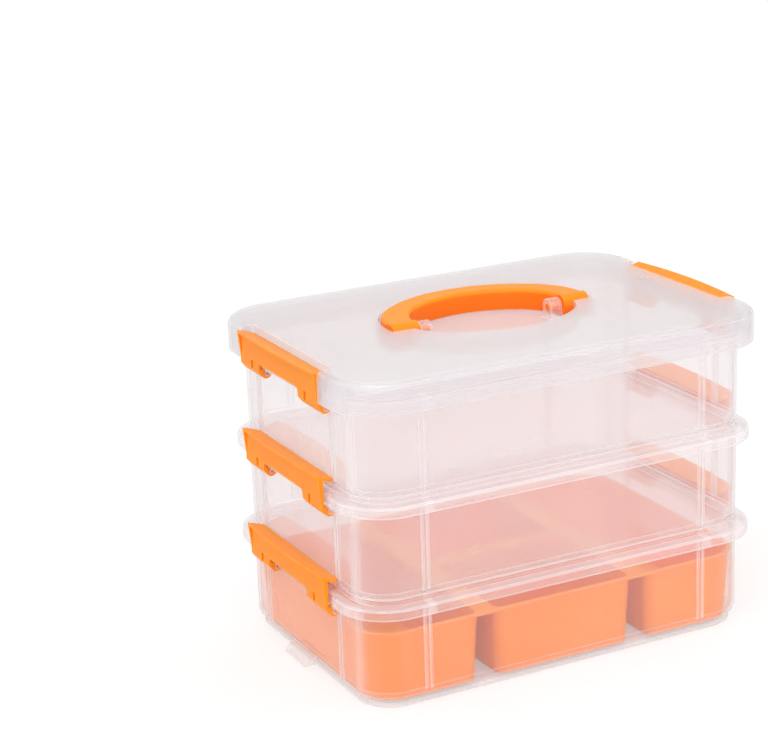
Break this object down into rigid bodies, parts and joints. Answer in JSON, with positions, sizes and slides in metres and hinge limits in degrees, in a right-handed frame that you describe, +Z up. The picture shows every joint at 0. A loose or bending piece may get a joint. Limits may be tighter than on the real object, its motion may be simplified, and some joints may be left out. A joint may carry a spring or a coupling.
{
  "type": "stackable storage box",
  "caption": "Clear stackable craft storage box with latched tiers, a divider tray with wells, a latched lid and a folding carry handle.",
  "frame": {"origin": "centre of the base, on the surface that the box stands on", "axes": "+Z up, X along the length of the box, -Y the long front side, latches on both X ends"},
  "size_m": [0.2684, 0.1808, 0.187],
  "materials": {
    "clear_plastic": "clear with a slight haze",
    "orange_plastic": "satin"
  },
  "bodies": {
    "bottom": {"bottom_tier": "clear_plastic", "divider_tray": "orange_plastic"},
    "middle_tier": {"middle_tier": "clear_plastic"},
    "top_tier": {"top_tier": "clear_plastic"},
    "lid": {"lid": "clear_plastic"},
    "handle": {"handle": "orange_plastic"},
    "lower_latch_right": {"lower_latch_right": "orange_plastic"},
    "lower_latch_left": {"lower_latch_left": "orange_plastic"},
    "upper_latch_right": {"upper_latch_right": "orange_plastic"},
    "upper_latch_left": {"upper_latch_left": "orange_plastic"},
    "lid_latch_right": {"lid_latch_right": "orange_plastic"},
    "lid_latch_left": {"lid_latch_left": "orange_plastic"}
  },
  "joints": [
    {"name": "middle_lift", "type": "slide", "parent": "bottom", "child": "middle_tier", "axis": [0, 0, 1], "range_m": [0, 0.01]},
    {"name": "top_lift", "type": "slide", "parent": "middle_tier", "child": "top_tier", "axis": [0, 0, 1], "range_m": [0, 0.01]},
    {"name": "lid_lift", "type": "slide", "parent": "top_tier", "child": "lid", "axis": [0, 0, 1], "range_m": [0, 0.01]},
    {"name": "handle_turn", "type": "hinge", "parent": "lid", "child": "handle", "pos_m": [0, 0, 0.181], "axis": [1, 0, 0], "range_deg": [0, 90]},
    {"name": "lower_latch_right_turn", "type": "hinge", "parent": "bottom", "child": "lower_latch_right", "pos_m": [0.12565, 0, 0.0504], "axis": [0, 1, 0], "range_deg": [0, 135]},
    {"name": "lower_latch_left_turn", "type": "hinge", "parent": "bottom", "child": "lower_latch_left", "pos_m": [-0.12565, 0, 0.0504], "axis": [0, -1, 0], "range_deg": [0, 135]},
    {"name": "upper_latch_right_turn", "type": "hinge", "parent": "middle_tier", "child": "upper_latch_right", "pos_m": [0.12565, 0, 0.1071], "axis": [0, 1, 0], "range_deg": [0, 135]},
    {"name": "upper_latch_left_turn", "type": "hinge", "parent": "middle_tier", "child": "upper_latch_left", "pos_m": [-0.12565, 0, 0.1071], "axis": [0, -1, 0], "range_deg": [0, 135]},
    {"name": "lid_latch_right_turn", "type": "hinge", "parent": "top_tier", "child": "lid_latch_right", "pos_m": [0.12565, 0, 0.1638], "axis": [0, 1, 0], "range_deg": [0, 135]},
    {"name": "lid_latch_left_turn", "type": "hinge", "parent": "top_tier", "child": "lid_latch_left", "pos_m": [-0.12565, 0, 0.1638], "axis": [0, -1, 0], "range_deg": [0, 135]}
  ],
  "couplings": [
    {"joint": "lower_latch_right_turn", "follows": "middle_lift", "rad_per_m": 235.62},
    {"joint": "lower_latch_left_turn", "follows": "middle_lift", "rad_per_m": 235.62},
    {"joint": "upper_latch_right_turn", "follows": "top_lift", "rad_per_m": 235.62},
    {"joint": "upper_latch_left_turn", "follows": "top_lift", "rad_per_m": 235.62},
    {"joint": "lid_latch_right_turn", "follows": "lid_lift", "rad_per_m": 235.62},
    {"joint": "lid_latch_left_turn", "follows": "lid_lift", "rad_per_m": 235.62}
  ]
}
